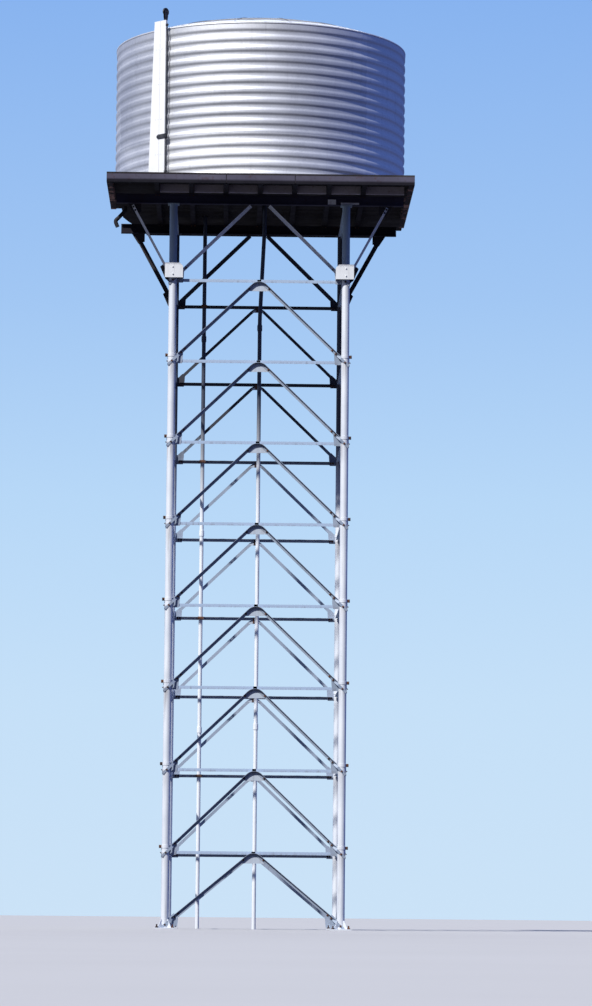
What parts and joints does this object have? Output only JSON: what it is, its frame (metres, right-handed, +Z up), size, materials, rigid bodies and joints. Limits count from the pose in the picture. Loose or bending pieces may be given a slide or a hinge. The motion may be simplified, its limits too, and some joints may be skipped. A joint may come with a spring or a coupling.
{
  "type": "water tower",
  "caption": "Free-standing water tower: round corrugated steel tank on a dark platform, on braced pipe legs, with a float level gauge and pulley.",
  "frame": {"origin": "on the ground under the middle of the stand, at the underside of the base plates", "axes": "+Z up, the front with the level gauge on its left faces -Y, +X to the right of the front"},
  "size_m": [4.48, 4.48, 13.615],
  "materials": {
    "leg_steel": "weathered galvanised pipe, pale grey with faint streaks",
    "bracing_steel": "dull galvanised bars with dark stains at the joints",
    "platform_steel": "old dark paint, faded to grey-purple, with brown rust",
    "deck_boards": "dark weathered boards",
    "tank_sheet": "corrugated galvanised sheet, dull silver with pale bloom",
    "gauge_white": "white paint, slightly chalky",
    "gauge_black": "matt black paint",
    "pipe_steel": "galvanised pipe, dull grey"
  },
  "bodies": {
    "tower": {"leg_front_left": "leg_steel", "leg_front_right": "leg_steel", "leg_back_left": "leg_steel", "leg_back_right": "leg_steel", "knee_brace_front_left": "platform_steel", "knee_brace_front_right": "platform_steel", "knee_brace_back_left": "platform_steel", "knee_brace_back_right": "platform_steel", "front_bracing": "bracing_steel", "right_bracing": "bracing_steel", "back_bracing": "bracing_steel", "left_bracing": "bracing_steel", "front_bearer": "platform_steel", "back_bearer": "platform_steel", "joist_1": "platform_steel", "joist_2": "platform_steel", "joist_3": "platform_steel", "joist_4": "platform_steel", "joist_5": "platform_steel", "joist_6": "platform_steel", "joist_7": "platform_steel", "left_edge_beam": "platform_steel", "front_edge_beam": "platform_steel", "right_edge_beam": "platform_steel", "back_edge_beam": "platform_steel", "platform_deck": "deck_boards", "tank_wall_1": "tank_sheet", "tank_wall_2": "tank_sheet", "tank_wall_3": "tank_sheet", "tank_wall_4": "tank_sheet", "tank_wall_5": "tank_sheet", "tank_wall_6": "tank_sheet", "tank_wall_7": "tank_sheet", "tank_wall_8": "tank_sheet", "tank_floor": "tank_sheet", "tank_roof": "tank_sheet", "roof_hatch": "tank_sheet", "gauge_board": "gauge_white", "gauge_guide": "gauge_black", "pulley_bracket": "gauge_black", "riser_pipe": "pipe_steel", "outlet_pipe": "pipe_steel", "drain_elbow": "platform_steel"},
    "pointer": {"gauge_pointer": "gauge_black"},
    "pulley": {"pulley_wheel": "gauge_black"}
  },
  "joints": [
    {"name": "pointer_slide", "type": "slide", "parent": "tower", "child": "pointer", "axis": [0, 0, 1], "range_m": [-0.475, 1.6]},
    {"name": "pulley_turn", "type": "hinge", "parent": "tower", "child": "pulley", "pos_m": [-1.42083, -1.7193, 13.428], "axis": [0.7373, -0.6756, 0], "continuous": true}
  ]
}
